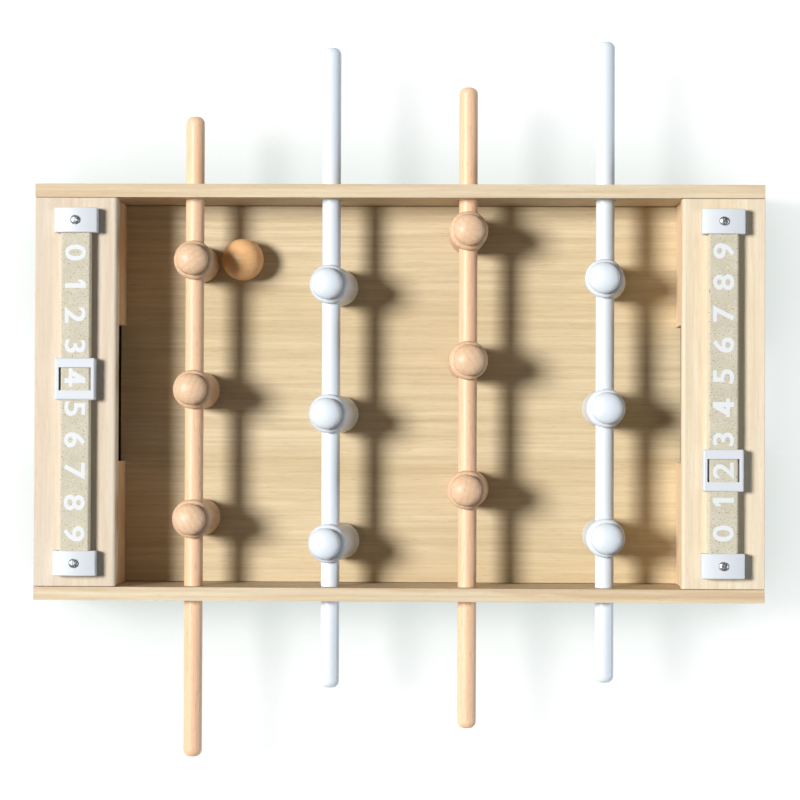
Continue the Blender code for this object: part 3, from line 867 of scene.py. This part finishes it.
for side, away in (("left", -1), ("right", 1)):
    low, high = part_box(f"{side}_score_bar")
    printed = []
    for digit in range(10):
        text = digit_mesh(digit)
        row = away * ((digit - 4.5) * DIGIT_SPACING + DIGIT_SHIFT)
        spot = Vector(((low.x + high.x) / 2, (low.y + high.y) / 2 + row, high.z))
        turn = Matrix.Rotation(away * math.pi / 2, 4, "Z")
        text.data.transform(Matrix.Translation(spot) @ turn)
        printed.append(text)
    bpy.ops.object.select_all(action="DESELECT")
    for text in printed:
        text.select_set(True)
    bpy.context.view_layer.objects.active = printed[0]
    bpy.ops.object.join()
    numbers = bpy.context.object
    numbers.name = f"{side}_numbers"
    bpy.ops.object.shade_flat()
    hand_over(numbers, DIGIT_PRINT, "table", "white_plastic")
    print(numbers.name, len(numbers.data.vertices), "points")

# %% [markdown]
# ## Clamps and screws
#
# Each end of a bar sits under a white moulded cap. Its top is a shallow arch: a block is divided
# into rows, and the top of each row is lifted by the height of a circle's arc. A tunnel takes the
# bar, and a round seat takes the screw. The screw's head is turned, then cut with a cross.

# %% Clamps
CLAMP_RISE = 0.0020
CLAMP_ROWS = 12
CLAMP_EASE = 0.0009
BAR_CLEARANCE = 0.0004
TUNNEL_ROOM = 0.0003
SEAT_RADIUS, SEAT_DEPTH = 0.0033, 0.0006


def arch_rise(x, half, rise):
    """Height of a shallow arc above its ends, at x from the middle."""
    radius = (half * half + rise * rise) / (2 * rise)
    return math.sqrt(radius * radius - x * x) - (radius - rise)


for side in ("left", "right"):
    bar_low, bar_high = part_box(f"{side}_score_bar")
    for end in ("back", "front"):
        low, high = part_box(f"{side}_{end}_clamp")
        middle = (low + high) / 2
        half, shoulder = (high.x - low.x) / 2, high.z - CLAMP_RISE
        clamp = block(f"{side}_{end}_cap", low, (high.x, high.y, shoulder))
        edit(clamp)
        for y in (low.y, high.y):
            for z in (low.z, shoulder):
                shape = bmesh.from_edit_mesh(clamp.data)
                for edge in shape.edges:
                    if all(abs(v.co.y - y) < NEAR and abs(v.co.z - z) < NEAR for v in edge.verts):
                        edge.select_set(True)
        bmesh.update_edit_mesh(clamp.data)
        bpy.ops.mesh.subdivide(number_cuts=CLAMP_ROWS - 1)
        for row in range(1, CLAMP_ROWS):
            x = low.x + (high.x - low.x) * row / CLAMP_ROWS
            bpy.ops.mesh.select_all(action="DESELECT")
            pick_edges(clamp, lambda co: abs(co.x - x) < NEAR and co.z > low.z + NEAR)
            bpy.ops.transform.translate(value=(0, 0, arch_rise(x - middle.x, half, CLAMP_RISE)))
        leave_edit()
        cut(
            clamp,
            block(
                "tunnel",
                (bar_low.x - BAR_CLEARANCE, low.y - CUT_PAST, low.z - CUT_PAST),
                (bar_high.x + BAR_CLEARANCE, high.y + CUT_PAST, bar_high.z + TUNNEL_ROOM),
            ),
        )
        ease(clamp, CLAMP_EASE, 4, 35)
        cut(clamp, peg("seat", SEAT_RADIUS, 2 * SEAT_DEPTH, (middle.x, middle.y, high.z), "Z", 48))
        smooth(clamp, 30)
        hand_over(clamp, WHITE_PLASTIC, "table", "white_plastic", f"{side}_{end}_clamp")

# %% Screws
HEAD_RADIUS, HEAD_HEIGHT = 0.0030, 0.0016
CROSS_LENGTH, CROSS_WIDTH, CROSS_DEPTH = 0.0040, 0.0008, 0.0009
SCREW_TURN = 20
HEAD_FOOT = 0.98
DOME_START = 0.35

dome = arc(
    (0, HEAD_HEIGHT * DOME_START), (HEAD_RADIUS, HEAD_HEIGHT * (1 - DOME_START)), 0, 84, 8
)
SCREW = turned_piece("screw_pattern", [(HEAD_RADIUS * HEAD_FOOT, 0), *dome], 48)
for size_x, size_y in ((CROSS_LENGTH, CROSS_WIDTH), (CROSS_WIDTH, CROSS_LENGTH)):
    slot_low = (-size_x / 2, -size_y / 2, HEAD_HEIGHT - CROSS_DEPTH)
    cut(SCREW, block("cross", slot_low, (size_x / 2, size_y / 2, HEAD_HEIGHT + CUT_PAST)))
smooth(SCREW, 30)
for side, away in (("left", -1), ("right", 1)):
    for end, back in (("back", 1), ("front", -1)):
        low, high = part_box(f"{side}_{end}_clamp_screw")
        seat = Matrix.Translation(
            ((low.x + high.x) / 2, (low.y + high.y) / 2, high.z - HEAD_HEIGHT)
        )
        turn = Matrix.Rotation(math.radians(SCREW_TURN) * away * back, 4, "Z")
        screw = copy_of(SCREW, f"{side}_{end}_screw_head", seat @ turn)
        hand_over(screw, STEEL, "table", "steel", f"{side}_{end}_clamp_screw")
    print(f"{side} screws are in")
bpy.data.objects.remove(SCREW)

# %% [markdown]
# ## Score sliders
#
# A square cap rides on each bar and frames one number. It is a block with rounded edges, a tunnel
# underneath for the bar and a window on top. The window's rim is eased last and only a little.

# %% Score sliders
WINDOW_WIDTH, WINDOW_LENGTH = 0.0215, 0.0153
WINDOW_FOOT = 0.004
SLIDER_ROUND, RIM_EASE = 0.0013, 0.0003
for side in ("left", "right"):
    bar_low, bar_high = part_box(f"{side}_score_bar")
    low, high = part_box(f"{side}_score_slider")
    middle = (low + high) / 2
    slider = block(f"{side}_slider_cap", low, high)
    ease(slider, SLIDER_ROUND, 5)
    cut(
        slider,
        block(
            "tunnel",
            (bar_low.x - BAR_CLEARANCE, low.y - CUT_PAST, low.z - CUT_PAST),
            (bar_high.x + BAR_CLEARANCE, high.y + CUT_PAST, bar_high.z + BAR_CLEARANCE),
        ),
        block(
            "window",
            (middle.x - WINDOW_WIDTH / 2, middle.y - WINDOW_LENGTH / 2, bar_high.z - WINDOW_FOOT),
            (middle.x + WINDOW_WIDTH / 2, middle.y + WINDOW_LENGTH / 2, high.z + CUT_PAST),
        ),
    )
    ease(slider, RIM_EASE, 2, 50)
    smooth(slider, 30)
    hand_over(slider, WHITE_PLASTIC, f"{side}_slider", "white_plastic", f"{side}_score_slider")
    print(slider.name, len(slider.data.polygons), "faces")

# %% [markdown]
# ## Light and floor
#
# One round soft box hangs to the left and a little behind. It is near enough for its shadows to
# lengthen from left to right, and wide enough to blur them. A cool board, low on the right, gives
# the white pegs their bluish shade and never reaches down to the pitch. The floor glows faintly, a
# painted light that keeps shadows on it pale, as on a light table. Near the box an ambient
# occlusion node dims the glow: a painted contact shadow. Far away the glow is painted brighter,
# up to the white of the backdrop.

# %% Light
# The falloff node keeps the key nearly even from the left bar to the right one, as a large, distant
# lamp would, while its place still sets the length of the shadows.
KEY_PLACE = Vector((-1.90, 0.31, 2.78))
COOL_PLACE = Vector((2.0, -0.35, 0.40))


def round_lamp(name, place, size, power, colour):
    """A round area lamp at a place, aimed at the origin."""
    lamp = bpy.data.lights.new(name, "AREA")
    lamp.shape = "DISK"
    lamp.size = size
    lamp.energy = power
    lamp.color = colour
    holder = bpy.data.objects.new(name, lamp)
    bpy.context.scene.collection.objects.link(holder)
    holder.location = place
    holder.rotation_euler = (-place).to_track_quat("-Z", "Y").to_euler()
    return lamp


soft_box = round_lamp("soft_box", KEY_PLACE, size=0.90, power=160, colour=(1.0, 0.985, 0.96))
soft_box.use_nodes = True
nodes = soft_box.node_tree.nodes
even = nodes.new("ShaderNodeLightFalloff")
distance = (KEY_PLACE - Vector((0, 0, PANEL_TOP))).length
even.inputs["Strength"].default_value = 1 / distance**2
soft_box.node_tree.links.new(even.outputs["Constant"], nodes["Emission"].inputs["Strength"])

round_lamp("cool_board", COOL_PLACE, size=0.60, power=13, colour=(0.80, 0.91, 1.0))
print("key lamp to panel tops, m:", round(distance, 2))

# %% World
# The camera sees plain white. Everything else is lit by a much weaker, cooler glow.
SEEN_COLOUR, SEEN_STRENGTH = (1.0, 1.0, 1.0, 1), 1.0
FILL_COLOUR, FILL_STRENGTH = (0.93, 0.97, 1.0, 1), 0.125

world = bpy.data.worlds.new("studio")
bpy.context.scene.world = world
world.use_nodes = True
tree = world.node_tree
tree.nodes.clear()
seen = tree.nodes.new("ShaderNodeBackground")
seen.inputs["Color"].default_value = SEEN_COLOUR
seen.inputs["Strength"].default_value = SEEN_STRENGTH
fill = tree.nodes.new("ShaderNodeBackground")
fill.inputs["Color"].default_value = FILL_COLOUR
fill.inputs["Strength"].default_value = FILL_STRENGTH
ray = tree.nodes.new("ShaderNodeLightPath")
choose = tree.nodes.new("ShaderNodeMixShader")
out = tree.nodes.new("ShaderNodeOutputWorld")
tree.links.new(ray.outputs["Is Camera Ray"], choose.inputs[0])
tree.links.new(fill.outputs[0], choose.inputs[1])
tree.links.new(seen.outputs[0], choose.inputs[2])
tree.links.new(choose.outputs[0], out.inputs[0])

# %% Floor
FLOOR_SIZE = 40
SHADE_REACH = 0.09
# The first colour is the painted contact shade where the box hides the floor, the second the open
# glow.
PAINTED_CONTACT_SHADE, OPEN_FLOOR = (0.34, 0.42, 0.395), (0.885, 0.905, 0.895)
FAR_START, FAR_END = 0.7, 2.5

bpy.ops.object.select_all(action="DESELECT")
bpy.ops.mesh.primitive_plane_add(size=FLOOR_SIZE, location=(0, 0, 0))
floor = bpy.context.object
floor.name = "floor"
FLOOR = new_finish("floor_glow", 0.9, 0.0)
# Ambient occlusion darkens the glow near the box: a painted contact shadow.
openness = add(
    FLOOR, "ShaderNodeAmbientOcclusion", {"Distance": SHADE_REACH}, samples=8
).outputs["AO"]
glow = ramp(FLOOR, openness, [(0.0, PAINTED_CONTACT_SHADE), (0.95, OPEN_FLOOR)])
# Far from the box the glow is painted brighter, up to the backdrop's white.
reach = add(
    FLOOR, "ShaderNodeVectorMath", {0: object_place(FLOOR)}, operation="LENGTH"
).outputs["Value"]
far = add(
    FLOOR, "ShaderNodeMapRange", {"Value": reach, "From Min": FAR_START, "From Max": FAR_END}
).outputs[0]
glow = blend(FLOOR, far, glow, (1.0, 1.0, 1.0))
FLOOR.node_tree.links.new(glow, shader_of(FLOOR).inputs["Emission Color"])
shader_of(FLOOR).inputs["Emission Strength"].default_value = 1.0
shader_of(FLOOR).inputs["Base Color"].default_value = (0.15, 0.15, 0.15, 1)
floor.data.materials.append(FLOOR)
